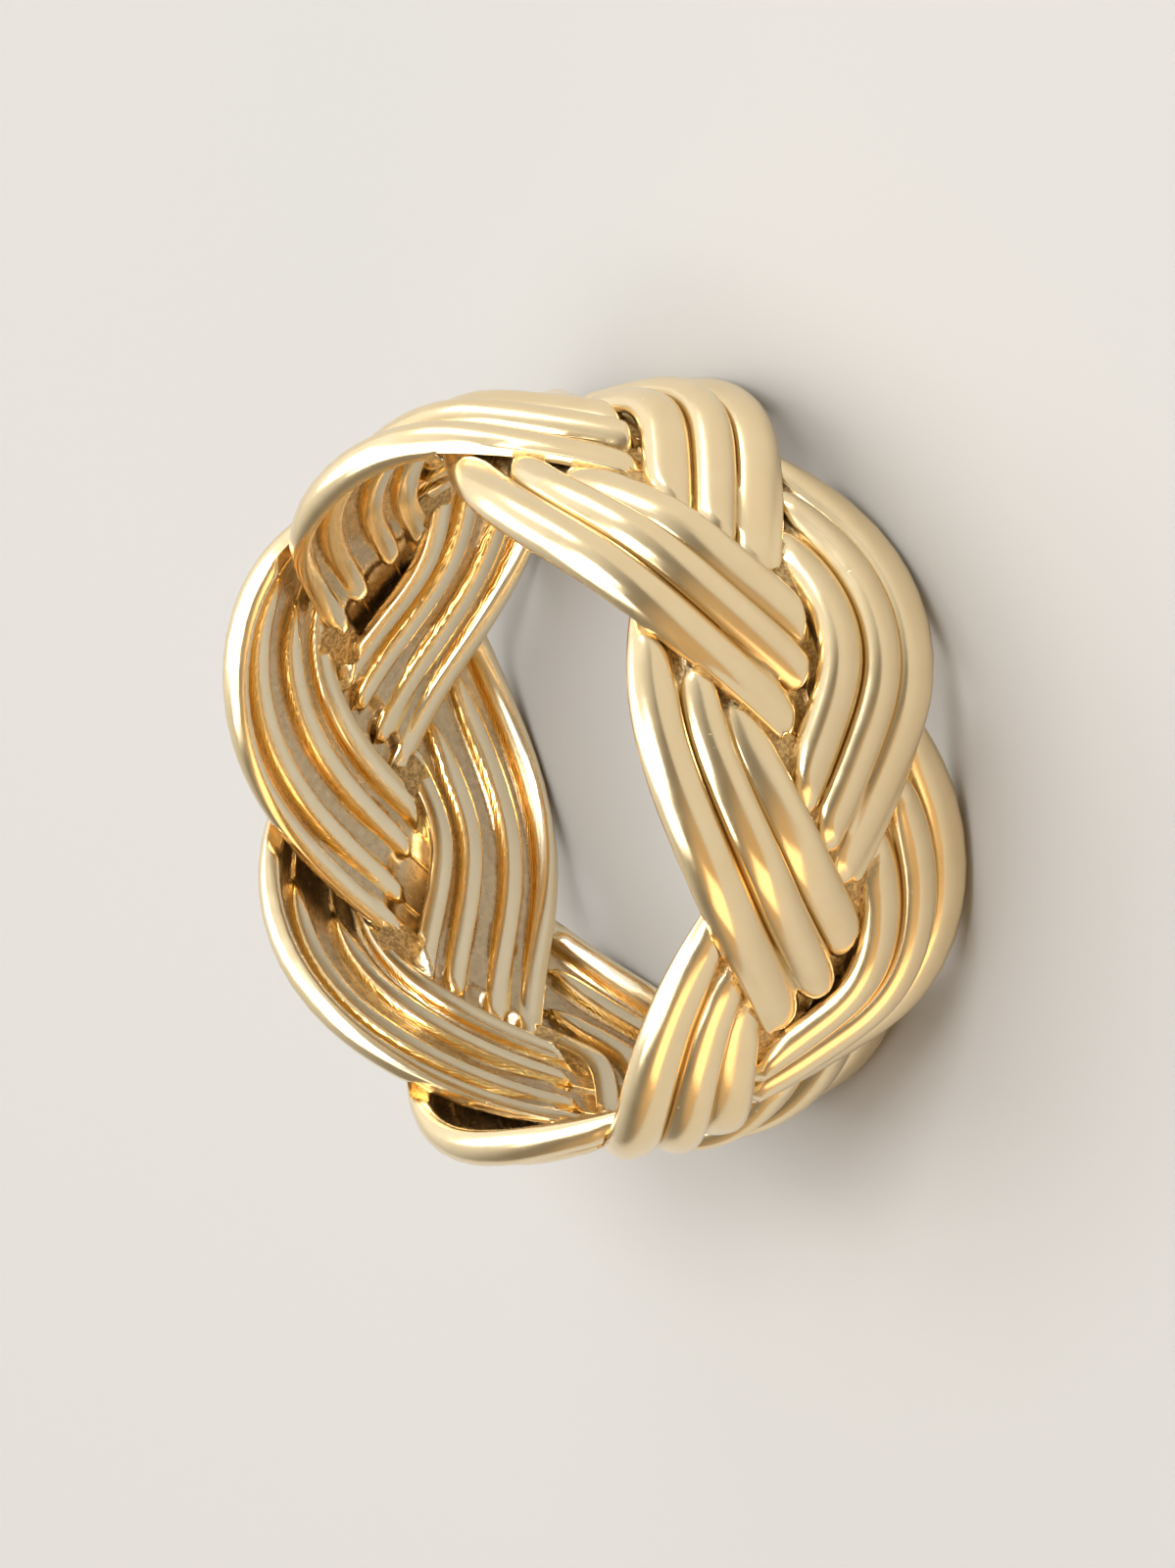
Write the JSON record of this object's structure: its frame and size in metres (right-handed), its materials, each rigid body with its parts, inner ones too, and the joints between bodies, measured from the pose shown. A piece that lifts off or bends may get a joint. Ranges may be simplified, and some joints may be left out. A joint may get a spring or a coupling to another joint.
{
  "type": "braided band ring",
  "caption": "Wide gold finger ring cast as a plaited band: a ribbed strand with a hollow back weaves over and under itself between two scalloped rims.",
  "frame": {"origin": "on the ring's axis, in the plane of the surface that the ring's lower rim rests on", "axes": "+Z along the ring's axis, up from the lower rim to the upper rim; +X and +Y across the finger hole"},
  "size_m": [0.0208, 0.021, 0.0101],
  "materials": {
    "gold": "polished 14 karat yellow gold"
  },
  "bodies": {
    "root": {"braid_strand": "gold"}
  },
  "joints": []
}
